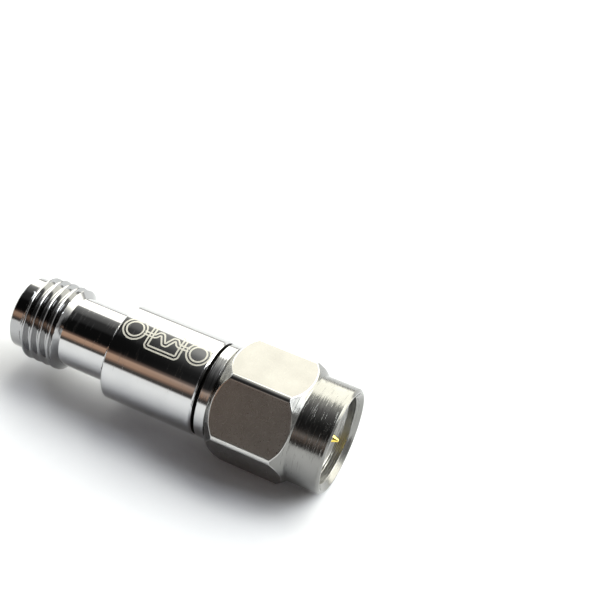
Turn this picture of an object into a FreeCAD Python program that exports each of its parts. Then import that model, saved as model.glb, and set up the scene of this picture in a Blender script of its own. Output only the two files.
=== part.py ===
import FreeCAD, Part
import os
import re
import Sketcher

# Coaxial fixed attenuator: threaded socket (jack) at one end, plug with a turning hex nut at the other.
# The axis of the part is X. X = 0 is the plug's reference plane, where its outer conductor meets the
# mating socket, +X points out of the plug's mouth, and +Z is up, square to one flat of the nut.

doc = FreeCAD.newDocument("coaxial_attenuator")

# Driving dimensions, in millimetres.
SIZES = [
    ("pin_radius", 0.455, "plug centre pin"),
    ("pin_reach", 2.21, "pin tip beyond the reference plane"),
    ("pin_point_length", 0.75, "cone at the pin tip"),
    ("pin_point_radius", 0.08, "small flat on the tip"),
    ("conductor_radius", 0.635, "centre conductor inside the insulators"),
    ("collar_radius", 0.86, "collar that locks a conductor in its insulator"),
    ("collar_width", 0.8, "the same collar along the axis"),
    ("collar_setback", 2.4, "front face of an insulator's metal line to its collar"),
    ("line_bore_radius", 2.05, "outer conductor round the insulators"),
    ("air_bore_radius", 1.46, "outer conductor where the line runs in air"),
    ("seat_gap", 0.02, "radial slack of pieces that are pushed together"),
    ("insulator_recess", 0.1, "insulator face behind its reference plane"),
    ("plug_insulator_length", 4.9, "insulator in the plug"),
    ("ferrule_wall", 0.245, "wall of the plug's outer conductor"),
    ("ferrule_length", 2.7, "reference plane back to the shoulder"),
    ("ferrule_edge", 0.12, "chamfer on the ferrule's rim"),
    ("shank_radius", 3.18, "plug body where the nut turns"),
    ("shank_length", 3.66, "shoulder back to the flange"),
    ("shank_edge", 0.15, "chamfer on the shoulder"),
    ("flange_radius", 3.5, "flange behind the nut"),
    ("flange_width", 0.78, "the same flange along the axis"),
    ("flange_edge", 0.08, "chamfer on both rims of the flange"),
    ("relief_radius", 3.0, "floor of the dark groove between flange and barrel"),
    ("relief_width", 0.29, "the same groove along the axis"),
    ("stub_radius", 2.6, "plug body's tail inside the barrel"),
    ("stub_length", 2.2, "the same tail along the axis"),
    ("nut_play", 0.21, "flange to the back face of the nut"),
    ("nut_length", 8.63, "whole nut"),
    ("hex_across", 8.0, "nut across its flats"),
    ("hex_corner_loss", 0.069, "what turning takes off the sharp corners"),
    ("hex_length", 6.04, "hexagon with its cone chamfers"),
    ("hex_face_radius", 3.84, "round face at the back of the nut"),
    ("skirt_wall", 0.635, "wall of the round skirt in front of the hexagon"),
    ("skirt_edge", 0.2, "chamfer on the skirt's rim"),
    ("mouth_radius", 3.225, "plain bore inside the mouth"),
    ("mouth_depth", 0.73, "the same bore along the axis"),
    ("mouth_edge", 0.18, "chamfer inside the mouth"),
    ("mouth_cone", 0.3, "run from the plain bore down to the thread"),
    ("nut_thread_radius", 2.83, "crests of the nut's inside thread"),
    ("nut_relief_length", 0.5, "gasket to the back end of that thread"),
    ("turning_gap", 0.08, "radial slack between shank and nut"),
    ("ring_setback", 1.25, "shoulder to the retaining ring's groove"),
    ("ring_groove_depth", 0.43, "groove in the shank"),
    ("ring_width", 0.6, "retaining ring along the axis"),
    ("ring_reach", 0.24, "retaining ring beyond the shank"),
    ("ring_slack", 0.05, "free space at each side of the ring"),
    ("ring_opening", 1.2, "gap in the ring"),
    ("nut_groove_slack", 0.13, "free space round the ring in the nut"),
    ("gasket_inset", 0.1, "rim of the silicone gasket inside the shank's"),
    ("gasket_thickness", 0.7, "the same gasket along the axis"),
    ("barrel_radius", 3.55, "barrel of the main body"),
    ("barrel_length", 7.24, "the same barrel along the axis"),
    ("barrel_edge", 0.14, "chamfer on both rims of the barrel"),
    ("neck_radius", 2.6, "slim neck behind the barrel"),
    ("neck_length", 4.03, "the same neck along the axis"),
    ("thread_radius", 3.12, "crests of the socket's outside thread"),
    ("thread_length", 3.3, "the same thread with its run-outs"),
    ("thread_runout", 0.36, "chamfer at both ends of the thread"),
    ("lead_wall", 0.35, "wall of the plain ring in front of the thread"),
    ("lead_length", 0.9, "the same ring along the axis"),
    ("lead_edge", 0.12, "chamfer on its rim"),
    ("ferrule_slack", 0.025, "radial slack of a ferrule in the socket's counterbore"),
    ("socket_bore_depth", 1.93, "end face to the socket's reference plane"),
    ("socket_bore_edge", 0.1, "chamfer at its mouth"),
    ("web_length", 1.6, "narrow bore between chamber and socket insulator"),
    ("contact_bore_radius", 0.465, "hole in the socket contact"),
    ("contact_bore_depth", 2.9, "the same hole along the axis"),
    ("contact_slot_width", 0.12, "slots between the contact's fingers"),
    ("contact_slot_length", 2.2, "the same slots along the axis"),
    ("chip_width", 4.2, "attenuator chip, side to side"),
    ("chip_length", 3.4, "attenuator chip along the axis"),
    ("chip_thickness", 0.4, "attenuator chip"),
    ("chip_spring_thickness", 0.1, "ground spring under each edge of the chip"),
    ("carrier_length", 4.0, "half shells that hold the chip"),
    ("disc_spring_wall", 0.12, "disc spring that presses the half shells back"),
    ("disc_spring_height", 0.37, "the same spring along the axis, as it sits"),
    ("disc_spring_inset", 0.15, "rim of the same spring inside the half shells'"),
    ("clip_radius", 0.9, "clips between conductors and chip"),
    ("clip_length", 1.8, "the same clips along the axis"),
    ("clip_grip", 0.6, "clip over the end of the chip"),
    ("clip_slack", 0.01, "free space above and below the chip in a clip"),
    ("conductor_stop", 0.1, "end of a conductor to the chip"),
]

sheet = doc.addObject("Spreadsheet::Sheet", "Sizes")
for row, (name, value, meaning) in enumerate(SIZES, start=1):
    sheet.set(f"A{row}", meaning)
    sheet.set(f"B{row}", str(value))
    sheet.setAlias(f"B{row}", name)
doc.recompute()

NAMES = {name for name, value, meaning in SIZES}


def bound(text):
    """An expression written with bare size names, as the document wants it."""
    return re.sub(r"[a-z_]+", lambda word: "Sizes." + word[0] if word[0] in NAMES else word[0], text)


def number(text):
    return float(sheet.evalExpression(bound(text)))


# Radii that follow from other sizes. Each is an expression, so it stays bound to the sheet.
ferrule_radius = "(line_bore_radius + ferrule_wall)"
socket_bore_radius = f"({ferrule_radius} + ferrule_slack)"
lead_radius = f"({socket_bore_radius} + lead_wall)"
chamber_radius = "(stub_radius + seat_gap)"
turning_radius = "(shank_radius + turning_gap)"
ring_groove_floor = "(shank_radius - ring_groove_depth)"
nut_groove_radius = "(shank_radius + ring_reach + nut_groove_slack)"
skirt_radius = "(mouth_radius + skirt_wall)"
hex_corner = "(hex_across / sqrt(3))"
hex_corner_radius = f"({hex_corner} - hex_corner_loss)"

# Stations along the axis, worked out the same way.
shoulder = "-ferrule_length"
flange_front = f"{shoulder} - shank_length"
flange_back = f"{flange_front} - flange_width"
barrel_front = f"{flange_back} - relief_width"
barrel_back = f"{barrel_front} - barrel_length"
neck_back = f"{barrel_back} - neck_length"
thread_end = f"{neck_back} - thread_length"
socket_face = f"{thread_end} - lead_length"
socket_plane = f"{socket_face} + socket_bore_depth"
stub_end = f"{barrel_front} - stub_length"
carrier_front = f"{stub_end} - disc_spring_height"
chamber_floor = f"{carrier_front} - carrier_length"
web_back = f"{chamber_floor} - web_length"
nut_back = f"{flange_front} + nut_play"
nut_mouth = f"{nut_back} + nut_length"
hex_front = f"{nut_back} + hex_length"
mouth_floor = f"{nut_mouth} - mouth_edge - mouth_depth"
nut_thread_front = f"{mouth_floor} - mouth_cone"
nut_thread_back = f"{shoulder} + gasket_thickness + nut_relief_length"
ring_front = f"{shoulder} - ring_setback"
ring_back = f"{ring_front} - ring_width"
chip_middle = f"{chamber_floor} + carrier_length / 2"
chip_front = f"{chip_middle} + chip_length / 2"
chip_back = f"{chip_middle} - chip_length / 2"


def new_body(label):
    body = doc.addObject("PartDesign::Body", label)
    body.Label = label
    return body


def new_sketch(body, name, role):
    plane = [part for part in body.Origin.OriginFeatures if part.Role == role][0]
    sketch = body.newObject("Sketcher::SketchObject", name)
    sketch.AttachmentSupport = [(plane, "")]
    sketch.MapMode = "FlatFace"
    return sketch


def bind_corner(sketch, line, corner):
    """Tie the start point of a line to its two expressions."""
    for kind, text, axis_line in (("DistanceX", corner[0], -2), ("DistanceY", corner[1], -1)):
        if text == "0":
            sketch.addConstraint(Sketcher.Constraint("PointOnObject", line, 1, axis_line))
            continue
        made = sketch.addConstraint(Sketcher.Constraint(kind, -1, 1, line, 1, number(text)))
        sketch.setExpression(f"Constraints[{made}]", bound(text))


def draw_outline(sketch, corners):
    """A closed outline of straight lines. Each corner is a pair of expressions."""
    first = sketch.GeometryCount
    count = len(corners)
    points = [FreeCAD.Vector(number(across), number(up), 0) for across, up in corners]
    for index, point in enumerate(points):
        sketch.addGeometry(Part.LineSegment(point, points[(index + 1) % count]), False)
    for index, corner in enumerate(corners):
        following = first + (index + 1) % count
        sketch.addConstraint(Sketcher.Constraint("Coincident", first + index, 2, following, 1))
        bind_corner(sketch, first + index, corner)


def turn(body, name, corners):
    """Solid of revolution about X. Each corner is (station along the axis, radius)."""
    sketch = new_sketch(body, name + "_outline", "XZ_Plane")
    draw_outline(sketch, corners)
    solid = body.newObject("PartDesign::Revolution", name)
    solid.Profile = sketch
    solid.ReferenceAxis = (sketch, ["H_Axis"])
    solid.Angle = 360
    sketch.Visibility = False
    return solid


def cut_through(body, name, role, corners, one_side=False):
    """Straight cut through the whole piece, square to one of its three planes, or to one side of it only."""
    doc.recompute()
    before = body.Shape.Volume
    sketch = new_sketch(body, name + "_outline", role)
    draw_outline(sketch, corners)
    cut = body.newObject("PartDesign::Pocket", name)
    cut.Profile = sketch
    cut.Type = "ThroughAll"
    cut.Midplane = not one_side
    doc.recompute()
    if body.Shape.Volume >= before:
        raise RuntimeError(f"{name} removes nothing from {body.Label}")
    return cut


def rectangle(low_across, high_across, low_up, high_up):
    return [(low_across, low_up), (high_across, low_up), (high_across, high_up), (low_across, high_up)]


# Main body: barrel, neck and threaded socket, turned in one piece from brass and plated.
main_body = new_body("main_body")
turn(main_body, "main_body_turned", [
    (barrel_front, chamber_radius),
    (barrel_front, "barrel_radius - barrel_edge"),
    (f"{barrel_front} - barrel_edge", "barrel_radius"),
    (f"{barrel_back} + barrel_edge", "barrel_radius"),
    (barrel_back, "barrel_radius - barrel_edge"),
    (barrel_back, "neck_radius"),
    (neck_back, "neck_radius"),
    (f"{neck_back} - thread_runout", "thread_radius"),
    (f"{thread_end} + thread_runout", "thread_radius"),
    (thread_end, lead_radius),
    (f"{socket_face} + lead_edge", lead_radius),
    (socket_face, f"{lead_radius} - lead_edge"),
    (socket_face, f"{socket_bore_radius} + socket_bore_edge"),
    (f"{socket_face} + socket_bore_edge", socket_bore_radius),
    (socket_plane, socket_bore_radius),
    (socket_plane, "line_bore_radius"),
    (web_back, "line_bore_radius"),
    (web_back, "air_bore_radius"),
    (chamber_floor, "air_bore_radius"),
    (chamber_floor, chamber_radius),
])

# Plug body: ferrule, shank that the nut turns on, flange, and a tail pressed into the barrel.
plug_body = new_body("plug_body")
turn(plug_body, "plug_body_turned", [
    ("0", "line_bore_radius"),
    ("0", f"{ferrule_radius} - ferrule_edge"),
    ("-ferrule_edge", ferrule_radius),
    (shoulder, ferrule_radius),
    (shoulder, "shank_radius - shank_edge"),
    (f"{shoulder} - shank_edge", "shank_radius"),
    (f"{ring_front} + ring_slack", "shank_radius"),
    (f"{ring_front} + ring_slack", ring_groove_floor),
    (f"{ring_back} - ring_slack", ring_groove_floor),
    (f"{ring_back} - ring_slack", "shank_radius"),
    (flange_front, "shank_radius"),
    (flange_front, "flange_radius - flange_edge"),
    (f"{flange_front} - flange_edge", "flange_radius"),
    (f"{flange_back} + flange_edge", "flange_radius"),
    (flange_back, "flange_radius - flange_edge"),
    (flange_back, "relief_radius"),
    (barrel_front, "relief_radius"),
    (barrel_front, "stub_radius"),
    (stub_end, "stub_radius"),
    (stub_end, "air_bore_radius"),
    ("-insulator_recess - plug_insulator_length", "air_bore_radius"),
    ("-insulator_recess - plug_insulator_length", "line_bore_radius"),
])

# Coupling nut: turned outline first, then the six flats are milled off it, so each flat ends in the
# curve where it meets the cone. The skirt is slimmer than the flats, so the mill passes it by.
coupling_nut = new_body("coupling_nut")
hex_rise = f"({hex_corner_radius} - hex_face_radius)"
skirt_rise = f"({hex_corner_radius} - {skirt_radius})"
groove_low = f"{ring_back} - 3 * ring_slack"
groove_high = f"{ring_front} + 3 * ring_slack"
turn(coupling_nut, "nut_turned", [
    (nut_back, turning_radius),
    (nut_back, "hex_face_radius"),
    (f"{nut_back} + {hex_rise}", hex_corner_radius),
    (f"{hex_front} - {skirt_rise}", hex_corner_radius),
    (hex_front, skirt_radius),
    (f"{nut_mouth} - skirt_edge", skirt_radius),
    (nut_mouth, f"{skirt_radius} - skirt_edge"),
    (nut_mouth, "mouth_radius + mouth_edge"),
    (f"{nut_mouth} - mouth_edge", "mouth_radius"),
    (mouth_floor, "mouth_radius"),
    (nut_thread_front, "nut_thread_radius"),
    (nut_thread_back, "nut_thread_radius"),
    (nut_thread_back, turning_radius),
    (groove_high, turning_radius),
    (groove_high, nut_groove_radius),
    (groove_low, nut_groove_radius),
    (groove_low, turning_radius),
])
doc.recompute()
turned_volume = coupling_nut.Shape.Volume
flats = new_sketch(coupling_nut, "nut_flats_outline", "YZ_Plane")
draw_outline(flats, [
    (hex_corner, "0"),
    (f"{hex_corner} / 2", "hex_across / 2"),
    (f"-{hex_corner} / 2", "hex_across / 2"),
    (f"-{hex_corner}", "0"),
    (f"-{hex_corner} / 2", "-hex_across / 2"),
    (f"{hex_corner} / 2", "-hex_across / 2"),
])
bar = flats.addGeometry(Part.Circle(FreeCAD.Vector(0, 0, 0), FreeCAD.Vector(0, 0, 1), number("hex_across")), False)
flats.addConstraint(Sketcher.Constraint("Coincident", bar, 3, -1, 1))
bar_size = flats.addConstraint(Sketcher.Constraint("Radius", bar, number("hex_across")))
flats.setExpression(f"Constraints[{bar_size}]", bound("hex_across"))
milled = coupling_nut.newObject("PartDesign::Pocket", "nut_flats")
milled.Profile = flats
milled.Type = "ThroughAll"
milled.Midplane = True
doc.recompute()
if coupling_nut.Shape.Volume >= turned_volume:
    raise RuntimeError("the six flats remove nothing from the nut")

# Retaining ring: an open spring ring, half in the shank's groove and half in the nut's.
nut_retaining_ring = new_body("nut_retaining_ring")
turn(nut_retaining_ring, "ring_turned", rectangle(
    ring_back,
    ring_front,
    f"{ring_groove_floor} + ring_slack",
    "shank_radius + ring_reach",
))
cut_through(nut_retaining_ring, "ring_gap", "XY_Plane", rectangle(
    f"{ring_back} - ring_width",
    f"{ring_front} + ring_width",
    "-ring_opening / 2",
    "ring_opening / 2",
), one_side=True)

# Gasket: silicone ring round the root of the ferrule.
nut_gasket = new_body("nut_gasket")
turn(nut_gasket, "gasket_moulded", rectangle(
    shoulder,
    f"{shoulder} + gasket_thickness",
    f"{ferrule_radius} + seat_gap",
    "shank_radius - gasket_inset",
))


def insulator(label, face, back, collar_front, collar_back):
    """Bead round a conductor, with room for the conductor's collar."""
    body = new_body(label)
    turn(body, label + "_turned", [
        (face, "conductor_radius + seat_gap"),
        (face, "line_bore_radius - seat_gap"),
        (back, "line_bore_radius - seat_gap"),
        (back, "conductor_radius + seat_gap"),
        (collar_back, "conductor_radius + seat_gap"),
        (collar_back, "collar_radius + seat_gap"),
        (collar_front, "collar_radius + seat_gap"),
        (collar_front, "conductor_radius + seat_gap"),
    ])
    return body


# Plug insulator and centre pin.
plug_collar_front = "-collar_setback"
plug_collar_back = f"{plug_collar_front} - collar_width"
insulator(
    "plug_insulator",
    "-insulator_recess",
    "-insulator_recess - plug_insulator_length",
    f"{plug_collar_front} + seat_gap",
    f"{plug_collar_back} - seat_gap",
)
plug_centre_pin = new_body("plug_centre_pin")
turn(plug_centre_pin, "pin_turned", [
    ("pin_reach", "0"),
    ("pin_reach", "pin_point_radius"),
    ("pin_reach - pin_point_length", "pin_radius"),
    ("0", "pin_radius"),
    ("0", "conductor_radius"),
    (plug_collar_front, "conductor_radius"),
    (plug_collar_front, "collar_radius"),
    (plug_collar_back, "collar_radius"),
    (plug_collar_back, "conductor_radius"),
    (f"{chip_front} + conductor_stop", "conductor_radius"),
    (f"{chip_front} + conductor_stop", "0"),
])

# Socket insulator and contact. The contact's mouth is split into four spring fingers.
socket_collar_middle = f"({socket_plane} + contact_bore_depth + {web_back}) / 2"
socket_collar_front = f"{socket_collar_middle} - collar_width / 2"
socket_collar_back = f"{socket_collar_middle} + collar_width / 2"
insulator(
    "jack_insulator",
    f"{socket_plane} + insulator_recess",
    web_back,
    f"{socket_collar_front} - seat_gap",
    f"{socket_collar_back} + seat_gap",
)
jack_centre_contact = new_body("jack_centre_contact")
turn(jack_centre_contact, "contact_turned", [
    (socket_plane, "contact_bore_radius"),
    (socket_plane, "conductor_radius"),
    (socket_collar_front, "conductor_radius"),
    (socket_collar_front, "collar_radius"),
    (socket_collar_back, "collar_radius"),
    (socket_collar_back, "conductor_radius"),
    (f"{chip_back} - conductor_stop", "conductor_radius"),
    (f"{chip_back} - conductor_stop", "0"),
    (f"{socket_plane} + contact_bore_depth", "0"),
    (f"{socket_plane} + contact_bore_depth", "contact_bore_radius"),
])
slot = cut_through(jack_centre_contact, "contact_slot", "XY_Plane", rectangle(
    f"{socket_plane} - contact_slot_length",
    f"{socket_plane} + contact_slot_length",
    "-contact_slot_width / 2",
    "contact_slot_width / 2",
))
slots = jack_centre_contact.newObject("PartDesign::PolarPattern", "contact_slots")
slots.Originals = [slot]
slots.Axis = ([part for part in jack_centre_contact.Origin.OriginFeatures if part.Role == "X_Axis"][0], [""])
slots.Angle = 90
slots.Occurrences = 2
jack_centre_contact.Tip = slots

# Attenuator chip: a ceramic plate with printed resistors, lying level on the axis.
attenuator_chip = doc.addObject("Part::Box", "attenuator_chip")
attenuator_chip.Label = "attenuator_chip"
attenuator_chip.setExpression("Length", bound("chip_length"))
attenuator_chip.setExpression("Width", bound("chip_width"))
attenuator_chip.setExpression("Height", bound("chip_thickness"))
attenuator_chip.setExpression("Placement.Base.x", bound(chip_back))
attenuator_chip.setExpression("Placement.Base.y", bound("-chip_width / 2"))
attenuator_chip.setExpression("Placement.Base.z", bound("-chip_thickness / 2"))


def ground_spring(label, low_side):
    """Thin strip between one edge of the chip and the lower half shell."""
    strip = doc.addObject("Part::Box", label)
    strip.Label = label
    strip.setExpression("Length", bound("chip_length"))
    strip.setExpression("Width", bound("chip_width / 2 - air_bore_radius"))
    strip.setExpression("Height", bound("chip_spring_thickness"))
    strip.setExpression("Placement.Base.x", bound(chip_back))
    strip.setExpression("Placement.Base.y", bound(low_side))
    strip.setExpression("Placement.Base.z", bound("-chip_thickness / 2 - chip_spring_thickness"))
    return strip


ground_spring("left_ground_spring", "air_bore_radius")
ground_spring("right_ground_spring", "-chip_width / 2")


def half_shell(label, low_edge, high_edge):
    """One of the two half shells round the chip: a turned tube with its other half milled away."""
    body = new_body(label)
    turn(body, label + "_turned", rectangle(chamber_floor, carrier_front, "air_bore_radius", "stub_radius"))
    cut_through(body, label + "_flat", "XZ_Plane", rectangle(
        f"{chamber_floor} - carrier_length",
        f"{carrier_front} + carrier_length",
        low_edge,
        high_edge,
    ))
    return body


half_shell("upper_chip_carrier", "-2 * stub_radius", "chip_thickness / 2")
half_shell("lower_chip_carrier", "-chip_thickness / 2 - chip_spring_thickness", "2 * stub_radius")

# Disc spring: a shallow cone of spring steel between the plug body's tail and the half shells.
disc_spring = new_body("disc_spring")
disc_spring_hole = "(air_bore_radius + disc_spring_wall)"
disc_spring_rim = "(stub_radius - disc_spring_inset)"
turn(disc_spring, "disc_spring_pressed", [
    (carrier_front, disc_spring_hole),
    (f"{carrier_front} + disc_spring_wall", disc_spring_hole),
    (stub_end, f"{disc_spring_rim} - disc_spring_wall"),
    (stub_end, disc_spring_rim),
    (f"{stub_end} - disc_spring_wall", disc_spring_rim),
    (carrier_front, f"{disc_spring_hole} + disc_spring_wall"),
])


def chip_clip(label, grip_end, tail_end, slot_open, slot_floor):
    """Slotted sleeve, pushed on the end of a conductor, that pinches the end of the chip."""
    body = new_body(label)
    turn(body, label + "_turned", rectangle(grip_end, tail_end, "conductor_radius + seat_gap", "clip_radius"))
    cut_through(body, label + "_slot", "XZ_Plane", rectangle(
        slot_open,
        slot_floor,
        "-chip_thickness / 2 - clip_slack",
        "chip_thickness / 2 + clip_slack",
    ))
    return body


chip_clip(
    "plug_chip_clip",
    f"{chip_front} - clip_grip",
    f"{chip_front} - clip_grip + clip_length",
    f"{chip_front} - 2 * clip_grip",
    f"{chip_front} + conductor_stop",
)
chip_clip(
    "jack_chip_clip",
    f"{chip_back} + clip_grip",
    f"{chip_back} + clip_grip - clip_length",
    f"{chip_back} + 2 * clip_grip",
    f"{chip_back} - conductor_stop",
)

doc.recompute()

PIECES = [
    "main_body",
    "plug_body",
    "coupling_nut",
    "nut_retaining_ring",
    "nut_gasket",
    "plug_insulator",
    "plug_centre_pin",
    "plug_chip_clip",
    "attenuator_chip",
    "left_ground_spring",
    "right_ground_spring",
    "upper_chip_carrier",
    "lower_chip_carrier",
    "disc_spring",
    "jack_chip_clip",
    "jack_centre_contact",
    "jack_insulator",
]

for thing in doc.Objects:
    if "Invalid" in thing.State or "Error" in thing.State:
        raise RuntimeError(f"{thing.Name} could not be made")

os.makedirs("parts", exist_ok=True)
for label in PIECES:
    shape = doc.getObjectsByLabel(label)[0].Shape
    if shape.isNull() or not shape.isValid() or len(shape.Solids) != 1:
        raise RuntimeError(f"{label} is not one sound solid")
    shape.exportStep(os.path.join("parts", label + ".step"))
    print(f"{label}: {shape.Volume:.3f} cubic mm")
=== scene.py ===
import math
from functools import partial

import bmesh
import bpy
from mathutils import Matrix, Vector


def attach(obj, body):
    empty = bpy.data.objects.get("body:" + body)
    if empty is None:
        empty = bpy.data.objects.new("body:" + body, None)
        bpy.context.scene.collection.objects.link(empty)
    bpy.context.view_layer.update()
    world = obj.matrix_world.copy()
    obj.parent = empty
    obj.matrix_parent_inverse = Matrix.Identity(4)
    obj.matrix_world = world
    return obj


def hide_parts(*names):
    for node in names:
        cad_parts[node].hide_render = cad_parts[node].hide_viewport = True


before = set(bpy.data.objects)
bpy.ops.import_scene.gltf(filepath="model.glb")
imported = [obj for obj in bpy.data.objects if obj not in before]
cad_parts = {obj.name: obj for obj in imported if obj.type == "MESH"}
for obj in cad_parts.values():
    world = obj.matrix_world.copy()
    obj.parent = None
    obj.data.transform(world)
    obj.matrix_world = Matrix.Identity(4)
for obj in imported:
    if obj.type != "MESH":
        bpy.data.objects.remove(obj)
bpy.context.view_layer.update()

# Main body: barrel, slim neck and threaded socket, turned in one piece from brass bar and plated with a
# bright nickel alloy. Every rim is broken by a fine chamfer, so it carries a thin line of light. The
# outside thread is cut after turning and fades into the neck's shoulder.
mm = 0.001
fine_columns = 240
weld, sliver = 2e-7, 1e-8


def eased(corners, pieces=4, longest=0.4, margin=0.1):
    """The outline with each corner rounded by its own small bend. A corner is (station, radius, bend) in mm.

    A bend takes at most the longest share of an edge, and a point just beyond it keeps the edge flat.
    """
    points = []
    for index, (station, radius, bend) in enumerate(corners):
        corner = Vector((station, radius))
        if not bend:
            points.append(corner)
            continue
        back = Vector(corners[index - 1][:2]) - corner
        on = Vector(corners[(index + 1) % len(corners)][:2]) - corner
        half = back.angle(on) / 2
        reach = min(bend / math.tan(half), longest * back.length, longest * on.length)
        start = corner + back.normalized() * reach
        end = corner + on.normalized() * reach
        inward = (back.normalized() + on.normalized()).normalized()
        centre = corner + inward * (reach / math.cos(half))
        spoke = start - centre
        opening = math.atan2(spoke.cross(end - centre), spoke.dot(end - centre))
        points.append(start + back.normalized() * min(reach, margin * back.length) / 2)
        for step in range(pieces + 1):
            points.append(centre + Matrix.Rotation(opening * step / pieces, 2) @ spoke)
        points.append(end + on.normalized() * min(reach, margin * on.length) / 2)
    return points


def round_place(station, radius, angle):
    """A place in metres from mm. The angle runs from the front, up over the top."""
    return station * mm, -radius * mm * math.cos(angle), radius * mm * math.sin(angle)


def lathe(body, outline_at, closed=True, columns=fine_columns):
    """Faces swept once round the axis. The outline may differ from one angle to the next."""
    rows = []
    for column in range(columns):
        angle = 2 * math.pi * column / columns
        rows.append([body.verts.new(round_place(*point, angle)) for point in outline_at(angle)])
    for row, next_row in zip(rows, rows[1:] + rows[:1]):
        for index in range(len(row) if closed else len(row) - 1):
            after = (index + 1) % len(row)
            off_axis = max(row[index].co.yz.length, row[after].co.yz.length)
            if off_axis > weld:
                body.faces.new((row[index], row[after], next_row[after], next_row[index]))


def linked(name, data):
    """A new object of this name, linked to the scene."""
    thing = bpy.data.objects.new(name, data)
    bpy.context.scene.collection.objects.link(thing)
    return thing


def finished(name, body, *finishes, crease=24):
    """Welds the faces, points them outwards and returns the piece with its finishes."""
    bmesh.ops.remove_doubles(body, verts=body.verts, dist=weld)
    bmesh.ops.dissolve_degenerate(body, edges=body.edges, dist=sliver)
    bmesh.ops.recalc_face_normals(body, faces=body.faces)
    mesh = bpy.data.meshes.new(name)
    body.to_mesh(mesh)
    body.free()
    mesh.shade_smooth()
    mesh.set_sharp_from_angle(angle=math.radians(crease))
    for finish in finishes:
        mesh.materials.append(finish)
    return linked(name, mesh)


def filled(tree, node, inputs):
    """Fills a node's inputs. Sockets are linked, and plain values are set on the socket."""
    for place, value in inputs.items():
        if isinstance(value, bpy.types.NodeSocket):
            tree.links.new(value, node.inputs[place])
        else:
            node.inputs[place].default_value = value
    return node


def made(tree, kind, inputs, output=0, **settings):
    """One output of a new node of this kind."""
    node = tree.nodes.new(kind)
    for setting, value in settings.items():
        setattr(node, setting, value)
    return filled(tree, node, inputs).outputs[output]


def maths(tree, operation, *terms):
    return made(tree, "ShaderNodeMath", dict(enumerate(terms)), operation=operation)


def axes_of(tree, vector):
    """The X, Y and Z of a vector."""
    return filled(tree, tree.nodes.new("ShaderNodeSeparateXYZ"), {0: vector}).outputs


def round_axis(tree, station, radius, angle):
    """The nodes for a place by its station, radius and angle."""
    front = maths(tree, "MULTIPLY", radius, maths(tree, "MULTIPLY", maths(tree, "COSINE", angle), -1.0))
    up = maths(tree, "MULTIPLY", radius, maths(tree, "SINE", angle))
    return made(tree, "ShaderNodeCombineXYZ", {"X": station, "Y": front, "Z": up})


def geometry_tree(name, kinds):
    """A node tree that takes geometry and inputs of these kinds."""
    tree = bpy.data.node_groups.new(name, "GeometryNodeTree")
    tree.interface.new_socket("Geometry", in_out="OUTPUT", socket_type="NodeSocketGeometry")
    for label, kind in {"Geometry": "Geometry", **kinds}.items():
        tree.interface.new_socket(label, in_out="INPUT", socket_type="NodeSocket" + kind)
    return tree, tree.nodes.new("NodeGroupInput").outputs


def given_out(tree, geometry, finish):
    """Ends a node tree: the geometry is made real, takes its finish and goes out."""
    real = made(tree, "GeometryNodeRealizeInstances", {"Geometry": geometry})
    dressed = made(tree, "GeometryNodeSetMaterial", {"Geometry": real, "Material": finish})
    tree.links.new(dressed, tree.nodes.new("NodeGroupOutput").inputs[0])


def grow(body, carrier, tree, settings):
    """Runs a node tree on its carrier, adds the mesh it makes to the piece and clears the carrier away."""
    growth = carrier.modifiers.new("growth", "NODES")
    growth.node_group = tree
    for socket in tree.interface.items_tree:
        if socket.in_out == "INPUT" and socket.name in settings:
            growth[socket.identifier] = settings[socket.name]
    bpy.context.view_layer.update()
    ready = carrier.evaluated_get(bpy.context.evaluated_depsgraph_get())
    mesh = bpy.data.meshes.new_from_object(ready)
    carrier.modifiers.remove(growth)
    body.from_mesh(mesh)
    bpy.data.objects.remove(carrier)
    bpy.data.meshes.remove(mesh)


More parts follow.
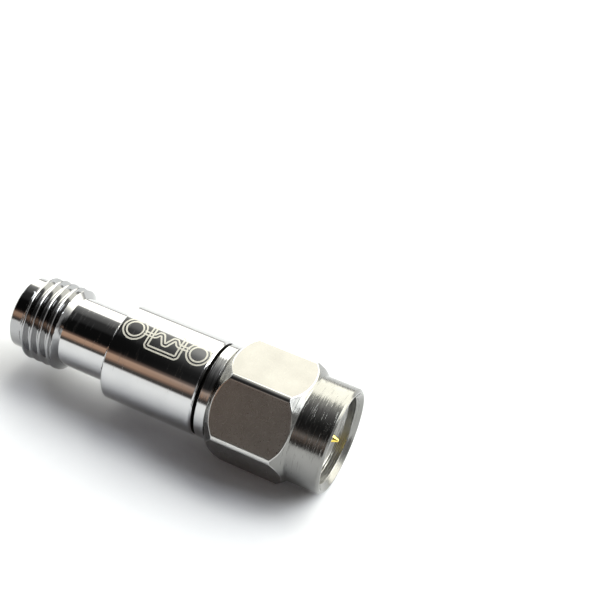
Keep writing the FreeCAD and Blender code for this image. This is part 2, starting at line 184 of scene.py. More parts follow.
def thread_tree(rows_per_pitch=24.0, crest_rows=0.3, root_rows=11.0, fades_in_pitch=4.0):
    """A screw thread as a sheared grid: its rows follow the helix, so every crest is one clean line."""
    lengths = ("Start", "End", "Start radius", "End radius", "Start run out", "End run out", "Smooth end",
               "Crest radius", "Root radius", "Pitch", "Crest station")
    kinds = dict.fromkeys(lengths, "Float") | {"Columns": "Int", "Finish": "Material"}
    tree, given = geometry_tree("screw_thread", kinds)
    make, solve = partial(made, tree), partial(maths, tree)

    row_step = solve("DIVIDE", given["Pitch"], rows_per_pitch)
    half_pitch = solve("DIVIDE", given["Pitch"], 2.0)
    low = solve("SUBTRACT", solve("SUBTRACT", given["Start"], half_pitch), given["Crest station"])
    high = solve("SUBTRACT", solve("ADD", given["End"], half_pitch), given["Crest station"])
    first = solve("FLOOR", solve("DIVIDE", low, row_step))
    last = solve("CEIL", solve("DIVIDE", high, row_step))
    rows = solve("ADD", solve("SUBTRACT", last, first), 1.0)
    grid = make("GeometryNodeMeshGrid", {
        "Size X": 1.0, "Size Y": 2 * math.pi,
        "Vertices X": rows, "Vertices Y": solve("ADD", given["Columns"], 1.0)})

    flat = axes_of(tree, make("GeometryNodeInputPosition", {}))
    angle = flat["Y"]
    share = solve("ADD", flat["X"], 0.5)
    row = solve("ADD", solve("ROUND", solve("MULTIPLY", share, solve("SUBTRACT", rows, 1.0))), first)
    lead = solve("MULTIPLY", given["Pitch"], solve("DIVIDE", angle, 2 * math.pi))
    helix = solve("SUBTRACT", solve("MULTIPLY", row, row_step), lead)
    free = solve("ADD", helix, given["Crest station"])
    station = make("ShaderNodeClamp", {"Value": free, "Min": given["Start"], "Max": given["End"]})

    off_crest = solve("PINGPONG", solve("DIVIDE", row, rows_per_pitch), 0.5)
    groove = make("ShaderNodeMapRange", {
        "Value": off_crest, "From Min": crest_rows / rows_per_pitch, "From Max": root_rows / rows_per_pitch,
        }, interpolation_type="SMOOTHSTEP")
    to_end = solve("SUBTRACT", solve("SUBTRACT", given["End"], station), given["Smooth end"])
    fading = solve("DIVIDE", solve("MULTIPLY", to_end, fades_in_pitch), given["Pitch"])
    deepest = solve("MULTIPLY", groove, make("ShaderNodeClamp", {"Value": fading}))
    depth = solve("SUBTRACT", given["Root radius"], given["Crest radius"])
    for end, way in (("Start", 1.0), ("End", -1.0)):
        past = solve("MULTIPLY", solve("SUBTRACT", station, given[end]), way)
        fall = solve("DIVIDE", solve("SUBTRACT", given[end + " radius"], given["Crest radius"]), depth)
        left = solve("SUBTRACT", 1.0, solve("DIVIDE", past, given[end + " run out"]))
        deepest = solve("MAXIMUM", deepest, solve("MULTIPLY", fall, left))
    radius = solve("ADD", given["Crest radius"], solve("MULTIPLY", depth, deepest))

    place = round_axis(tree, station, radius, angle)
    moved = make("GeometryNodeSetPosition", {"Geometry": grid, "Position": place})
    merged = make("GeometryNodeMergeByDistance", {"Geometry": moved, "Distance": weld})
    given_out(tree, merged, given["Finish"])
    return tree


def cut_thread(body, tree, finish, **sizes):
    """Adds a thread of these sizes in mm to the piece that carries it."""
    settings = {name.replace("_", " ").capitalize(): size * mm for name, size in sizes.items()}
    blank = linked("thread_blank", bpy.data.meshes.new("thread_blank"))
    grow(body, blank, tree, {**settings, "Columns": fine_columns, "Finish": finish})


def effect_group(name, inputs, masks, build):
    """A shader group with number inputs that gives out masks only."""
    group = bpy.data.node_groups.new(name, "ShaderNodeTree")
    for label, usual in inputs.items():
        socket = group.interface.new_socket(label, in_out="INPUT", socket_type="NodeSocketFloat")
        socket.default_value = usual
    for label in masks:
        group.interface.new_socket(label, in_out="OUTPUT", socket_type="NodeSocketFloat")
    given = group.nodes.new("NodeGroupInput").outputs
    filled(group, group.nodes.new("NodeGroupOutput"), dict(zip(masks, build(group, given))))
    return group


def turned_lines(group, given):
    """Fine rings that a lathe tool leaves, short along the axis and long round it, and a cloud."""
    cloud_scale = 700.0
    where = made(group, "ShaderNodeTexCoord", {}, "Object")
    axes = axes_of(group, where)
    lines_per_metre = maths(group, "MULTIPLY", given["Lines"], 1 / mm)
    stretched = made(group, "ShaderNodeCombineXYZ", {
        "X": maths(group, "MULTIPLY", axes["X"], lines_per_metre),
        "Y": maths(group, "MULTIPLY", axes["Y"], given["Drift"]),
        "Z": maths(group, "MULTIPLY", axes["Z"], given["Drift"])})
    lines = made(group, "ShaderNodeTexNoise", {"Vector": stretched, "Scale": 1.0, "Detail": 3.0}, "Fac")
    cloud = made(group, "ShaderNodeTexNoise", {"Vector": where, "Scale": cloud_scale, "Detail": 3.0}, "Fac")
    return lines, cloud


def fine_scratches(group, given):
    """Sparse hairlines from handling: the peaks of a long stretched noise, in three directions."""
    stretch, softness = (16000.0, 700.0, 700.0), 0.05
    where = made(group, "ShaderNodeTexCoord", {}, "Object")
    peak = maths(group, "ADD", given["Rarity"], softness)
    marks = []
    for turn in ((0.3, 0.9, 0.4), (1.1, 0.2, 2.2), (2.3, 1.4, 0.8)):
        aimed = made(group, "ShaderNodeMapping", {"Vector": where, "Rotation": turn, "Scale": stretch})
        noise = made(group, "ShaderNodeTexNoise", {"Vector": aimed, "Scale": 1.0, "Detail": 0.0}, "Fac")
        marks.append(made(group, "ShaderNodeMapRange", {0: noise, 1: given["Rarity"], 2: peak}))
    return (maths(group, "MAXIMUM", marks[0], maths(group, "MAXIMUM", marks[1], marks[2])),)


lathe_marks = effect_group("lathe_marks", {"Lines": 30.0, "Drift": 500.0}, ("Lines", "Cloud"), turned_lines)
hairlines = effect_group("hairlines", {"Rarity": 0.75}, ("Scratch",), fine_scratches)


def placed(tree, group, **inputs):
    """The masks of a shader group with these inputs."""
    node = tree.nodes.new("ShaderNodeGroup")
    node.node_tree = group
    return filled(tree, node, {label.title(): value for label, value in inputs.items()}).outputs


def ranged(tree, mask, low, high):
    """A noise mask brought to the range that this finish needs."""
    noise_low, noise_high = 0.3, 0.7
    return made(tree, "ShaderNodeMapRange", {0: mask, 1: noise_low, 2: noise_high, 3: low, 4: high})


def mixed(tree, mask, one, other):
    """Colour that goes from one to the other as the mask rises."""
    return made(tree, "ShaderNodeMix", {0: mask, 6: one, 7: other}, 2, data_type="RGBA")


def relief(tree, skin, height, depth):
    """Bump of this depth in metres under the finish."""
    bump = made(tree, "ShaderNodeBump", {"Height": height, "Distance": depth, "Strength": 1.0})
    tree.links.new(bump, skin.inputs["Normal"])


def new_finish(name, metallic):
    finish = bpy.data.materials.new(name)
    finish.use_nodes = True
    skin = finish.node_tree.nodes["Principled BSDF"]
    skin.inputs["Metallic"].default_value = metallic
    return finish, finish.node_tree, skin


def clouded(tree, skin, mask, dark, light):
    """Base colour that drifts between two tones with a noise mask."""
    tone = mixed(tree, ranged(tree, mask, 0.0, 1.0), (*dark, 1.0), (*light, 1.0))
    tree.links.new(tone, skin.inputs["Base Color"])


def marked_finish(name, metallic, marks, dark, light, rough, depth=0.0, rarity=None):
    """A finish with marks of (lines per mm, drift), which set its roughness and are this deep in metres.

    Hairlines of the given rarity are cut between the marks.
    """
    finish, tree, skin = new_finish(name, metallic)
    masks = placed(tree, lathe_marks, lines=marks[0], drift=marks[1])
    clouded(tree, skin, masks["Cloud"], dark, light)
    tree.links.new(ranged(tree, masks["Lines"], *rough), skin.inputs["Roughness"])
    height = masks["Lines"]
    if rarity:
        height = maths(tree, "SUBTRACT", height, placed(tree, hairlines, rarity=rarity)["Scratch"])
    if depth:
        relief(tree, skin, height, depth)
    return finish


scratch_roughness, scratch_depth = 0.22, 1.4
bright_plate, tree, skin = new_finish("bright_plate", 1.0)
lines = placed(tree, lathe_marks, lines=26.0, drift=260.0)
scratch = placed(tree, hairlines, rarity=0.76)["Scratch"]
clouded(tree, skin, lines["Cloud"], (0.535, 0.535, 0.54), (0.57, 0.57, 0.57))
scratched = maths(tree, "MULTIPLY", scratch, scratch_roughness)
roughness = maths(tree, "MAXIMUM", ranged(tree, lines["Lines"], 0.03, 0.065), scratched)
tree.links.new(roughness, skin.inputs["Roughness"])
height = maths(tree, "SUBTRACT", lines["Lines"], maths(tree, "MULTIPLY", scratch, scratch_depth))
relief(tree, skin, height, 0.25e-6)

thread_plate = marked_finish(
    "thread_plate", 1.0, (20.0, 400.0), (0.36, 0.36, 0.365), (0.41, 0.41, 0.412), (0.06, 0.13), depth=0.5e-6)
# Painted shade: a near-black finish on the walls of the groove between barrel and flange.
shaded_groove = marked_finish(
    "shaded_groove", 1.0, (30.0, 900.0), (0.030, 0.028, 0.026), (0.055, 0.052, 0.048), (0.45, 0.6))

barrel_front, barrel_back, neck_back = -7.43, -14.67, -18.70
thread_end, socket_face, socket_plane = -22.0, -22.9, -20.97
chamber_floor, web_back = -14.0, -15.6
barrel_radius, neck_radius, lead_radius, socket_mouth = 3.55, 2.6, 2.67, 2.32
line_bore, chip_bore, press_bore = 2.05, 1.46, 2.62
barrel_chamfer, lead_chamfer, mouth_chamfer = 0.14, 0.12, 0.1
thread_pitch, crest_radius, thread_gap = 0.7056, 3.12, 0.3
turned_edge, bore_edge, neck_fillet, near = 0.03, 0.02, 0.05, 0.02

outline = eased([
    (thread_end, lead_radius, 0),
    (thread_end - thread_gap, lead_radius, 0),
    (socket_face + lead_chamfer, lead_radius, turned_edge),
    (socket_face, lead_radius - lead_chamfer, turned_edge),
    (socket_face, socket_mouth + mouth_chamfer, turned_edge),
    (socket_face + mouth_chamfer, socket_mouth, turned_edge),
    (socket_plane, socket_mouth, bore_edge),
    (socket_plane, line_bore, bore_edge),
    (web_back, line_bore, bore_edge),
    (web_back, chip_bore, bore_edge),
    (chamber_floor, chip_bore, bore_edge),
    (chamber_floor, press_bore, bore_edge),
    (barrel_front, press_bore, turned_edge),
    (barrel_front, barrel_radius - barrel_chamfer, turned_edge),
    (barrel_front - barrel_chamfer, barrel_radius, turned_edge),
    (barrel_back + barrel_chamfer, barrel_radius, turned_edge),
    (barrel_back, barrel_radius - barrel_chamfer, turned_edge),
    (barrel_back, neck_radius, neck_fillet),
    (neck_back + thread_gap, neck_radius, 0),
    (neck_back, neck_radius, 0),
])
body = bmesh.new()
lathe(body, lambda angle: outline, closed=False)
threads = thread_tree()
cut_thread(
    body, threads, thread_plate, start=thread_end, end=neck_back, start_radius=lead_radius,
    end_radius=neck_radius, start_run_out=0.36, end_run_out=0.38, smooth_end=0.34,
    crest_radius=crest_radius, root_radius=2.68, pitch=thread_pitch, crest_station=-20.09)
main_body = finished("turned_main_body", body, bright_plate, shaded_groove, thread_plate)
# The thread takes the thread plate; the barrel's front face inside the groove takes the painted groove shade.
for face in main_body.data.polygons:
    off_axis = math.hypot(face.center.y, face.center.z) / mm
    on_front = abs(face.center.x / mm - barrel_front) < near / 2
    in_groove = on_front and neck_radius < off_axis < barrel_radius - barrel_chamfer + near
    face.material_index = 2 if face.center.x / mm < neck_back + near else int(in_groove)
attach(main_body, "body")
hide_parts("main_body")

# Etched mark on the barrel: a plain line symbol, two rings joined through a box, in twin strokes. The
# laser leaves the plate dull and pale there, a hair proud of the bright metal round it.
def mark_tree(segment=0.06 * mm):
    """Flat strokes, drawn as curves, turned into twin ribbons and laid round the barrel."""
    lengths = ("Stroke width", "Stroke spacing", "Rise", "Corner", "Barrel radius", "Middle angle")
    tree, given = geometry_tree("etched_strokes", dict.fromkeys(lengths, "Float") | {"Finish": "Material"})
    make, solve = partial(made, tree), partial(maths, tree)

    soft = make("GeometryNodeFilletCurve", {
        "Curve": given["Geometry"], "Radius": given["Corner"], "Limit Radius": True})
    even = make("GeometryNodeResampleCurve", {"Curve": soft, "Length": segment}, mode="LENGTH")
    twins = tree.nodes.new("GeometryNodeJoinGeometry")
    for side in (-0.5, 0.5):
        section = make("GeometryNodeCurvePrimitiveQuadrilateral", {
            "Width": given["Stroke width"], "Height": given["Rise"]})
        off = make("ShaderNodeCombineXYZ", {"X": solve("MULTIPLY", given["Stroke spacing"], side)})
        tree.links.new(make("GeometryNodeSetPosition", {"Geometry": section, "Offset": off}), twins.inputs[0])
    ribbon = make("GeometryNodeCurveToMesh", {
        "Curve": even, "Profile Curve": twins.outputs[0], "Fill Caps": True})

    flat = axes_of(tree, make("GeometryNodeInputPosition", {}))
    angle = solve("ADD", solve("DIVIDE", flat["Y"], given["Barrel radius"]), given["Middle angle"])
    radius = solve("ADD", given["Barrel radius"], flat["Z"])
    place = round_axis(tree, flat["X"], radius, angle)
    moved = make("GeometryNodeSetPosition", {"Geometry": ribbon, "Position": place})
    given_out(tree, moved, given["Finish"])
    return tree


def circle(middle, radius, count=20):
    turns = [2 * math.pi * step / count for step in range(count)]
    return [(middle + radius * math.cos(turn), radius * math.sin(turn)) for turn in turns]


laser_etch, tree, skin = new_finish("laser_etch", 0.1)
grit = placed(tree, lathe_marks, lines=60.0, drift=9000.0)
clouded(tree, skin, grit["Lines"], (0.60, 0.585, 0.52), (0.76, 0.745, 0.67))
tree.links.new(ranged(tree, grit["Cloud"], 0.42, 0.6), skin.inputs["Roughness"])
relief(tree, skin, grit["Lines"], 3.0e-6)

mark_middle, ring_off, ring_radius = -10.95, 2.5, 0.74
box_half, box_rise, zigzag_rise = 1.2, 0.95, 0.52
stroke_width, stroke_spacing, stroke_rise, stroke_lift = 0.12, 0.25, 0.006, 0.002
zigzag = [
    (-box_half, 0.0), (-0.9, 0.0), (-0.55, zigzag_rise), (0.0, -zigzag_rise), (0.55, zigzag_rise), (0.9, 0.0),
    (box_half, 0.0)]
box = [(-box_half, -box_rise), (box_half, -box_rise), (box_half, box_rise), (-box_half, box_rise)]
strokes = bpy.data.curves.new("mark_strokes", "CURVE")
strokes.dimensions = "3D"
for points, looped in (
        (circle(-ring_off, ring_radius), True),
        ([(ring_radius - ring_off, 0.0), (-box_half, 0.0)], False),
        (box, True),
        (zigzag, False),
        ([(box_half, 0.0), (ring_off - ring_radius, 0.0)], False),
        (circle(ring_off, ring_radius), True)):
    line = strokes.splines.new("POLY")
    line.points.add(len(points) - 1)
    line.use_cyclic_u = looped
    for point, (along, across) in zip(line.points, points):
        point.co = ((mark_middle + along) * mm, across * mm, 0.0, 1.0)
body = bmesh.new()
grow(body, linked("mark_drawing", strokes), mark_tree(), {
    "Stroke width": stroke_width * mm, "Stroke spacing": stroke_spacing * mm, "Rise": stroke_rise * mm,
    "Corner": stroke_width * mm, "Barrel radius": (barrel_radius + stroke_lift) * mm,
    "Middle angle": math.radians(73.5), "Finish": laser_etch})
mark = finished("etched_mark", body, laser_etch)
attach(mark, "body")

# Plug body: flange, shank and thin ferrule, turned in one piece and plated like the main body. Its tail
# is pressed into the barrel, and the groove between flange and barrel shows where they meet; its walls carry
# a near-black finish, painted shade for the dark inside the groove.
brushed_plate = marked_finish(
    "brushed_plate", 1.0, (7.0, 700.0), (0.52, 0.52, 0.52), (0.56, 0.56, 0.555), (0.04, 0.12), depth=7.0e-6)

plug_plane, shoulder, flange_front, flange_back, tail_end, bead_seat = 0.0, -2.7, -6.36, -7.22, -9.63, -5.0
ring_groove_front, ring_groove_back, ring_groove_floor = -3.9, -4.6, 2.75
ferrule_radius, ferrule_chamfer, shank_radius, shank_chamfer = 2.295, 0.12, 3.18, 0.15
flange_radius, flange_chamfer, groove_floor = 3.5, 0.08, 3.0

plug_outline = eased([
    (plug_plane, line_bore, bore_edge),
    (plug_plane, ferrule_radius - ferrule_chamfer, bore_edge),
    (plug_plane - ferrule_chamfer, ferrule_radius, bore_edge),
    (shoulder, ferrule_radius, bore_edge),
    (shoulder, shank_radius - shank_chamfer, turned_edge),
    (shoulder - shank_chamfer, shank_radius, turned_edge),
    (ring_groove_front, shank_radius, bore_edge),
    (ring_groove_front, ring_groove_floor, bore_edge),
    (ring_groove_back, ring_groove_floor, bore_edge),
    (ring_groove_back, shank_radius, bore_edge),
    (flange_front, shank_radius, bore_edge),
    (flange_front, flange_radius - flange_chamfer, bore_edge),
    (flange_front - flange_chamfer, flange_radius, bore_edge),
    (flange_back + flange_chamfer, flange_radius, bore_edge),
    (flange_back, flange_radius - flange_chamfer, bore_edge),
    (flange_back, groove_floor, bore_edge),
    (barrel_front, groove_floor, bore_edge),
    (barrel_front, neck_radius, bore_edge),
    (tail_end, neck_radius, bore_edge),
    (tail_end, chip_bore, bore_edge),
    (bead_seat, chip_bore, bore_edge),
    (bead_seat, line_bore, bore_edge),
])
body = bmesh.new()
lathe(body, lambda angle: plug_outline)
plug_body = finished("turned_plug_body", body, brushed_plate, shaded_groove)
# Faces inside the groove between flange and barrel take the near-black painted groove shade.
for face in plug_body.data.polygons:
    in_groove = barrel_front - near / 20 < face.center.x / mm < flange_back + near / 4
    off_axis = math.hypot(face.center.y, face.center.z) / mm
    face.material_index = int(in_groove and off_axis < flange_radius - flange_chamfer - near)
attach(plug_body, "body")
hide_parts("plug_body")

# Coupling nut: hexagon bar of warm stainless steel. Its outline is turned first, with a cone at each end
# of the hexagon, and the flats then end in curves on those cones. The skirt in front is brushed round,
# and inside its mouth a plain bore leads to the thread.
satin_flat = marked_finish(
    "satin_flat", 1.0, (9.0, 9000.0), (0.247, 0.240, 0.230), (0.276, 0.269, 0.258), (0.26, 0.33),
    depth=0.4e-6, rarity=0.74)
brushed_round = marked_finish(
    "brushed_round", 1.0, (7.0, 600.0), (0.228, 0.226, 0.216), (0.256, 0.254, 0.244), (0.11, 0.22),
    depth=13.0e-6, rarity=0.75)
cut_bore = marked_finish(
    "cut_bore", 1.0, (14.0, 200.0), (0.28, 0.277, 0.265), (0.37, 0.367, 0.355), (0.18, 0.46), depth=9.0e-6)
# Painted highlight, partly rubbed metal: corner fillets and cone rims are plated twice as bright as the
# flats.
rubbed_and_highlit_edge = marked_finish(
    "rubbed_and_highlit_edge", 1.0, (10.0, 1500.0), (0.44, 0.435, 0.42), (0.52, 0.515, 0.50), (0.10, 0.17), depth=0.4e-6)

half_across, corner_fillet, face_radius, skirt_radius = 4.0, 0.45, 3.84, 3.86
nut_back, hex_front, nut_mouth = -6.15, -0.11, 2.48
thread_mouth, thread_tail = 1.57, -1.5
ring_room_front, ring_room_back, ring_room_radius = -3.80, -4.70, 3.55
nut_bore, mouth_bore, ridge_radius = 3.26, 3.225, 3.60
mouth_bevel, inner_bevel, worn_edge, wear, skirt_bend, bore_bend = 0.15, 0.38, 0.14, 0.08, 0.06, 0.04
side_angle, fillet_from, worn_from, nudge = 30, 27, 18, 1e-6


def nut_outline(angle):
    """Outside and bore of the nut at one angle. The hexagon's corners lie at 0, 60, 120 degrees and so on."""
    off_flat = abs((math.degrees(angle) + nudge) % (2 * side_angle) - side_angle)
    off_corner = math.radians(side_angle - off_flat)
    fillet_centre = (half_across - corner_fillet) / math.cos(math.radians(side_angle))
    if off_flat > fillet_from:
        aside = fillet_centre * math.sin(off_corner)
        reach = fillet_centre * math.cos(off_corner) + math.sqrt(corner_fillet ** 2 - aside ** 2)
    else:
        reach = half_across / math.cos(math.radians(off_flat))
    near_corner = max(0.0, (off_flat - worn_from) / (side_angle - worn_from))
    worn_back = wear * (1 - math.cos(math.pi * near_corner))
    return eased([
        (thread_tail, nut_bore, 0),
        (ring_room_front, nut_bore, bore_edge),
        (ring_room_front, ring_room_radius, bore_edge),
        (ring_room_back, ring_room_radius, bore_edge),
        (ring_room_back, nut_bore, bore_edge),
        (nut_back, nut_bore, turned_edge),
        (nut_back, face_radius, turned_edge),
        (nut_back + reach - face_radius + worn_back, reach, worn_edge),
        (hex_front - reach + skirt_radius - worn_back, reach, worn_edge),
        (hex_front, skirt_radius, skirt_bend),
        (nut_mouth - mouth_bevel, skirt_radius, turned_edge),
        (nut_mouth, skirt_radius - mouth_bevel, bore_edge),
        (nut_mouth, ridge_radius, skirt_bend),
        (nut_mouth - inner_bevel, mouth_bore, bore_bend),
        (thread_mouth, mouth_bore, 0),
    ])


side_lean, end_lean, cone_lean, end_depth = 0.02, 0.03, 0.68, 0.1
body = bmesh.new()
lathe(body, nut_outline, closed=False)
cut_thread(
    body, threads, brushed_round, start=thread_tail, end=thread_mouth, start_radius=nut_bore,
    end_radius=mouth_bore, start_run_out=0.25, end_run_out=0.3, smooth_end=-1.0, crest_radius=2.83,
    root_radius=3.17, pitch=thread_pitch, crest_station=0.9)
nut = finished("hex_coupling_nut", body, brushed_round, satin_flat, cut_bore, rubbed_and_highlit_edge)
for face in nut.data.polygons:
    x, y, z = face.center / mm
    radial = math.degrees(math.atan2(z, -y)) % (2 * side_angle) - side_angle
    off_middle = math.hypot(y, z) * math.cos(math.radians(radial))
    leaning = abs(face.normal.x)
    on_hexagon = nut_back < x < hex_front
    on_side = on_hexagon and leaning < side_lean
    on_flat = on_side and abs(radial) < fillet_from and abs(off_middle - half_across) < near / 2
    on_fillet = on_side and abs(radial) > fillet_from
    on_round_end = on_hexagon and off_middle > half_across - end_depth and end_lean < leaning < cone_lean
    # Bore faces take the cut bore; corner fillets and cone rims take the bright edge plating that paints
    # highlights.
    if math.hypot(y, z) < nut_bore + 2 * near:
        face.material_index = 2
    elif on_fillet or on_round_end:
        face.material_index = 3
    else:
        face.material_index = int(on_flat)
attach(nut, "nut")
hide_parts("coupling_nut")

# Gasket: soft silicone ring round the root of the ferrule, against the shank's shoulder. The mating socket
# presses on it when the nut is tightened.
silicone = marked_finish(
    "silicone", 0.0, (4.0, 4000.0), (0.42, 0.10, 0.06), (0.50, 0.14, 0.08), (0.45, 0.6), depth=2.0e-6)

gasket_front, gasket_inner, gasket_outer, inner_bend, outer_bend = -2.0, 2.315, 3.08, 0.12, 0.16
gasket_outline = eased([
    (shoulder, gasket_inner, inner_bend),
    (shoulder, gasket_outer, outer_bend),
    (gasket_front, gasket_outer, outer_bend),
    (gasket_front, gasket_inner, inner_bend),
])
body = bmesh.new()
lathe(body, lambda angle: gasket_outline)
gasket = finished("silicone_gasket", body, silicone)
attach(gasket, "body")
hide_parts("nut_gasket")

# Insulators: white fluoropolymer beads that centre the two conductors. Each is bored with a recess for
# its conductor's collar and lies a little behind its reference plane.
fluoropolymer = marked_finish(
    "fluoropolymer", 0.0, (12.0, 900.0), (0.80, 0.80, 0.78), (0.88, 0.88, 0.87), (0.35, 0.5), depth=2.0e-6)
skin = fluoropolymer.node_tree.nodes["Principled BSDF"]
skin.inputs["Subsurface Weight"].default_value = 0.25
skin.inputs["Subsurface Radius"].default_value = (0.0006, 0.0006, 0.0005)

bead_bore, bead_radius, recess_radius = 0.655, 2.03, 0.88
plug_collar, socket_collar = (-2.4, -3.2), (-17.235, -16.435)
recess_slack, plane_slack = 0.02, 0.1


def bead_of(name, front, back, collar, way):
    """One bead, from its front face to its back face. The way is 1 where the front faces +X."""
    slack = recess_slack * way
    outline = eased([
        (front, bead_bore, bore_edge),
        (front, bead_radius, turned_edge),
        (back, bead_radius, bore_edge),
        (back, bead_bore, bore_edge),
        (collar[1] - slack, bead_bore, bore_edge),
        (collar[1] - slack, recess_radius, bore_edge),
        (collar[0] + slack, recess_radius, bore_edge),
        (collar[0] + slack, bead_bore, bore_edge),
    ])
    body = bmesh.new()
    lathe(body, lambda angle: outline)
    return finished(name, body, fluoropolymer)


for bead, node in (
        (bead_of("plug_bead", plug_plane - plane_slack, bead_seat, plug_collar, 1), "plug_insulator"),
        (bead_of("socket_bead", socket_plane + plane_slack, web_back, socket_collar, -1), "jack_insulator")):
    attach(bead, "body")
    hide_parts(node)

# Centre pin of the plug: gold plated brass, turned to a long cone at its tip. A collar holds it in its
# insulator, and a clip joins its back end to the chip.
gold = marked_finish(
    "gold", 1.0, (40.0, 400.0), (0.84, 0.62, 0.11), (0.93, 0.73, 0.15), (0.14, 0.24), depth=0.8e-6)

pin_columns = 96
pin_tip, pin_shoulder, pin_end, cone_bend = 2.21, 1.40, -10.2, 0.12
tip_radius, pin_radius, rod_radius, collar_radius = 0.09, 0.455, 0.635, 0.86
pin_outline = eased([
    (pin_tip, 0.0, 0),
    (pin_tip, tip_radius, turned_edge),
    (pin_shoulder, pin_radius, cone_bend),
    (plug_plane, pin_radius, bore_edge),
    (plug_plane, rod_radius, bore_edge),
    (plug_collar[0], rod_radius, bore_edge),
    (plug_collar[0], collar_radius, bore_edge),
    (plug_collar[1], collar_radius, bore_edge),
    (plug_collar[1], rod_radius, bore_edge),
    (pin_end, rod_radius, bore_edge),
    (pin_end, 0.0, 0),
])
body = bmesh.new()
lathe(body, lambda angle: pin_outline, columns=pin_columns)
pin = finished("gold_centre_pin", body, gold)
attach(pin, "body")
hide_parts("plug_centre_pin")

# Centre contact of the socket: gold plated like the pin and bored at its mouth, where two crossed slots
# leave four spring fingers. A collar holds it in its insulator.
def finger_tree():
    """One spring finger, set round the bore as many times as there are slots."""
    tree, given = geometry_tree("spring_fingers", {"Fingers": "Int", "Finish": "Material"})
    posts = made(tree, "GeometryNodeMeshLine", {"Count": given["Fingers"], "Offset": (0.0, 0.0, 0.0)})
    step = maths(tree, "DIVIDE", 2 * math.pi, given["Fingers"])
    turn = maths(tree, "MULTIPLY", made(tree, "GeometryNodeInputIndex", {}), step)
    aimed = made(tree, "ShaderNodeCombineXYZ", {"X": turn})
    ring = made(tree, "GeometryNodeInstanceOnPoints", {
        "Points": posts, "Instance": given["Geometry"], "Rotation": aimed})
    given_out(tree, ring, given["Finish"])
    return tree


def finger_mesh(front, root, inner, outer, half_slot, tuck=0.03, lip=0.06, steps=14):
    """Quarter of the split tube, closed all round, with its sides parallel to the slots."""
    shell = bmesh.new()
    loops = []
    for station in (front, front + lip, root):
        rounded = tuck if station == front else 0.0
        loop = []
        for radius, order in ((outer - rounded, range(steps + 1)), (inner + rounded, range(steps, -1, -1))):
            low = math.asin(half_slot / radius)
            for step in order:
                angle = low + (math.pi / 2 - 2 * low) * step / steps
                loop.append(shell.verts.new(round_place(station, radius, angle)))
        loops.append(loop)
    for loop, next_loop in zip(loops, loops[1:]):
        for index in range(len(loop)):
            after = (index + 1) % len(loop)
            shell.faces.new((loop[index], loop[after], next_loop[after], next_loop[index]))
    for loop in (loops[0], loops[-1]):
        for index in range(steps):
            shell.faces.new((loop[index], loop[index + 1], loop[-index - 2], loop[-index - 1]))
    bmesh.ops.recalc_face_normals(shell, faces=shell.faces)
    mesh = bpy.data.meshes.new("finger")
    shell.to_mesh(mesh)
    shell.free()
    return mesh


finger_root, contact_bore_end, contact_end, contact_bore = -18.77, -18.07, -13.8, 0.465
contact_outline = eased([
    (finger_root, contact_bore, 0),
    (finger_root, rod_radius, 0),
    (socket_collar[0], rod_radius, bore_edge),
    (socket_collar[0], collar_radius, bore_edge),
    (socket_collar[1], collar_radius, bore_edge),
    (socket_collar[1], rod_radius, bore_edge),
    (contact_end, rod_radius, bore_edge),
    (contact_end, 0.0, 0),
    (contact_bore_end, 0.0, 0),
    (contact_bore_end, contact_bore, 0),
])
finger = linked("finger", finger_mesh(socket_plane, finger_root, contact_bore, rod_radius, half_slot=0.06))
body = bmesh.new()
grow(body, finger, finger_tree(), {"Fingers": 4, "Finish": gold})
lathe(body, lambda angle: contact_outline, columns=pin_columns)
contact = finished("socket_centre_contact", body, gold)
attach(contact, "body")
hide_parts("jack_centre_contact")

# Inside pieces, which keep their solids: retaining ring and disc spring of spring steel, half shells of
# brass, gilt springs and clips, and the chip of fired ceramic.
inside_finish = partial(marked_finish, marks=(18.0, 2000.0), depth=1.0e-6)
spring_steel = inside_finish(
    "spring_steel", 1.0, dark=(0.42, 0.40, 0.37), light=(0.52, 0.50, 0.47), rough=(0.2, 0.34))
plain_brass = inside_finish(
    "plain_brass", 1.0, dark=(0.70, 0.52, 0.24), light=(0.80, 0.60, 0.30), rough=(0.18, 0.32))
gilt_spring = inside_finish(
    "gilt_spring", 1.0, dark=(0.86, 0.62, 0.22), light=(0.95, 0.72, 0.28), rough=(0.16, 0.28))
fired_ceramic = inside_finish(
    "fired_ceramic", 0.0, dark=(0.74, 0.73, 0.70), light=(0.84, 0.83, 0.80), rough=(0.45, 0.6))
for finish, nodes in (
        (spring_steel, ("nut_retaining_ring", "disc_spring")),
        (plain_brass, ("upper_chip_carrier", "lower_chip_carrier")),
        (gilt_spring, ("left_ground_spring", "right_ground_spring", "plug_chip_clip", "jack_chip_clip")),
        (fired_ceramic, ("attenuator_chip",))):
    for node in nodes:
        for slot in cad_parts[node].material_slots:
            slot.material = finish

# Floor: a plain pale sheet under the part. The part lies on one flat of its nut, so the sheet is half the
# distance across flats below the axis.
paper, tree, skin = new_finish("paper", 0.0)
where = made(tree, "ShaderNodeTexCoord", {}, "Object")
fibre = made(tree, "ShaderNodeTexNoise", {"Vector": where, "Scale": 900.0, "Detail": 4.0}, "Fac")
tone = mixed(tree, fibre, (0.82, 0.835, 0.89, 1.0), (0.85, 0.865, 0.915, 1.0))
tree.links.new(tone, skin.inputs["Base Color"])
skin.inputs["Roughness"].default_value = 0.9
skin.inputs["Specular IOR Level"].default_value = 0.2

sheet, level = 4.0, -half_across * mm
corners = [(-sheet, -sheet, level), (sheet, -sheet, level), (sheet, sheet, level), (-sheet, sheet, level)]
floor_mesh = bpy.data.meshes.new("floor")
floor_mesh.from_pydata(corners, [], [(0, 1, 2, 3)])
floor_mesh.materials.append(paper)
floor = linked("floor", floor_mesh)

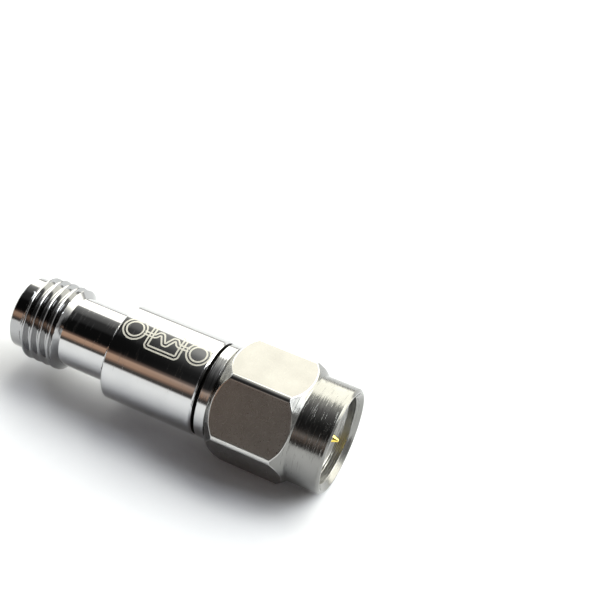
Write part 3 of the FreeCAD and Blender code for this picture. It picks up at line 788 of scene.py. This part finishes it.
# Studio: a bright window low behind, whose edge slants towards the plug's end, a dark ceiling, and a wall in
# front that is brown beside the socket and grey beside the plug.
studio = bpy.data.worlds.new("studio")
studio.use_nodes = True
bpy.context.scene.world = studio
tree = studio.node_tree
solve = partial(maths, tree)
axes = axes_of(tree, made(tree, "ShaderNodeTexCoord", {}, "Generated"))
along = axes["X"]
climb = solve("MULTIPLY", solve("ARCTAN2", axes["Z"], solve("MULTIPLY", axes["Y"], -1.0)), 180 / math.pi)


def banded(bands):
    """Light that changes with the height angle only: 0 is level in front, 90 overhead, 180 level behind."""
    ramp = tree.nodes.new("ShaderNodeValToRGB")
    for index, (degrees, colour) in enumerate(bands):
        stop = ramp.color_ramp.elements[index] if index < 2 else ramp.color_ramp.elements.new(degrees / 180)
        stop.position = degrees / 180
        stop.color = (*colour, 1.0)
    tree.links.new(solve("DIVIDE", climb, 180.0), ramp.inputs[0])
    return ramp.outputs[0]


def swelling(value, low, high, start=0.0, end=1.0):
    """A soft step from start to end while the value goes from low to high."""
    return made(tree, "ShaderNodeMapRange", {0: value, 1: low, 2: high, 3: start, 4: end},
                interpolation_type="SMOOTHSTEP")


brown_wall = banded([
    (0.0, (0.92, 0.92, 0.92)),
    (1.0, (0.80, 0.80, 0.79)),
    (3.5, (0.10, 0.09, 0.08)),
    (8.0, (0.10, 0.09, 0.08)),
    (13.0, (0.34, 0.22, 0.16)),
    (17.0, (0.60, 0.38, 0.26)),
    (26.0, (0.66, 0.43, 0.30)),
    (30.0, (0.20, 0.13, 0.10)),
    (36.0, (0.014, 0.011, 0.010)),
    (42.0, (0.006, 0.006, 0.006)),
    (70.0, (0.007, 0.007, 0.007)),
    (78.0, (0.030, 0.030, 0.030)),
    (98.0, (0.052, 0.052, 0.051)),
    (106.0, (0.16, 0.16, 0.155)),
    (118.0, (0.26, 0.26, 0.25)),
    (126.0, (0.42, 0.42, 0.41)),
    (132.0, (0.60, 0.60, 0.58)),
    (180.0, (0.70, 0.70, 0.68)),
])
grey_wall = banded([
    (0.0, (0.60, 0.60, 0.60)),
    (1.0, (0.40, 0.40, 0.40)),
    (3.0, (0.050, 0.048, 0.046)),
    (10.0, (0.055, 0.050, 0.047)),
    (18.0, (0.19, 0.170, 0.16)),
    (26.0, (0.47, 0.44, 0.42)),
    (31.0, (0.22, 0.21, 0.20)),
    (36.0, (0.045, 0.045, 0.045)),
    (50.0, (0.030, 0.030, 0.030)),
    (62.0, (0.055, 0.055, 0.055)),
    (70.0, (0.13, 0.13, 0.13)),
    (86.0, (0.30, 0.30, 0.30)),
    (94.0, (0.55, 0.55, 0.54)),
    (102.0, (0.80, 0.80, 0.77)),
    (110.0, (0.95, 0.95, 0.90)),
    (180.0, (0.80, 0.80, 0.77)),
])
end_wall, window_light = (0.42, 0.42, 0.415, 1.0), (0.99, 0.98, 0.87, 1.0)
window_slant, window_drop, window_gain = 68.0, 5.0, 3.0
brown_to_grey, grey_to_end, window_end = (-0.40, -0.22), (0.76, 0.97), (0.84, 0.96)
window_head, window_foot = (97.0, 107.0), (167.0, 175.0)

wall = mixed(tree, swelling(along, *brown_to_grey), brown_wall, grey_wall)
wall = mixed(tree, swelling(along, *grey_to_end), wall, end_wall)
slanted = solve("ADD", climb, solve("MULTIPLY", solve("MINIMUM", along, 0.0), window_slant))
sides = solve("MULTIPLY", swelling(slanted, *window_head), swelling(along, *window_end, 1.0, 0.0))
lowered = solve("SUBTRACT", climb, solve("MULTIPLY", solve("MAXIMUM", along, 0.0), window_drop))
pane = solve("MULTIPLY", sides, swelling(lowered, *window_foot, 1.0, 0.0))
filled(tree, tree.nodes["Background"], {
    "Color": mixed(tree, pane, wall, window_light),
    "Strength": solve("ADD", solve("MULTIPLY", pane, window_gain), 1.0)})

for name, away, width, watts in (
        ("key", (0.30, 0.12, 0.30), 0.30, 1.1),
        ("fill", (-0.40, 0.10, 0.30), 0.16, 0.35)):
    softbox = bpy.data.lights.new(name, "AREA")
    softbox.shape = "SQUARE"
    softbox.size = width
    softbox.energy = watts
    softbox.color = (0.93, 0.97, 1.0)
    facing_part = Vector(away).to_track_quat("Z", "Y").to_matrix().to_4x4()
    linked(name, softbox).matrix_world = Matrix.Translation(away) @ facing_part

# Camera: the photograph's own viewing angle, solved from the turned outlines. It is turned a few degrees
# about its own line of sight, as the photograph is.
lens = bpy.data.cameras.new("camera")
lens.lens = 70.2
lens.sensor_width = 36.0
lens.clip_start = 0.001
lens.clip_end = 50.0
camera = linked("camera", lens)
eye, target = Vector((0.017687, -0.056736, 0.055001)), Vector((-0.006741, 0.012941, 0.0))
roll = math.radians(9.414)
aim = (target - eye).normalized()
sideways = aim.cross(Vector((0, 0, 1))).normalized()
down = aim.cross(sideways)
right = math.cos(roll) * sideways - math.sin(roll) * down
below = math.sin(roll) * sideways + math.cos(roll) * down
camera.matrix_world = Matrix((
    (right.x, -below.x, -aim.x, eye.x),
    (right.y, -below.y, -aim.y, eye.y),
    (right.z, -below.z, -aim.z, eye.z),
    (0, 0, 0, 1),
))
bpy.context.scene.camera = camera
bpy.context.scene.view_settings.view_transform = "Standard"
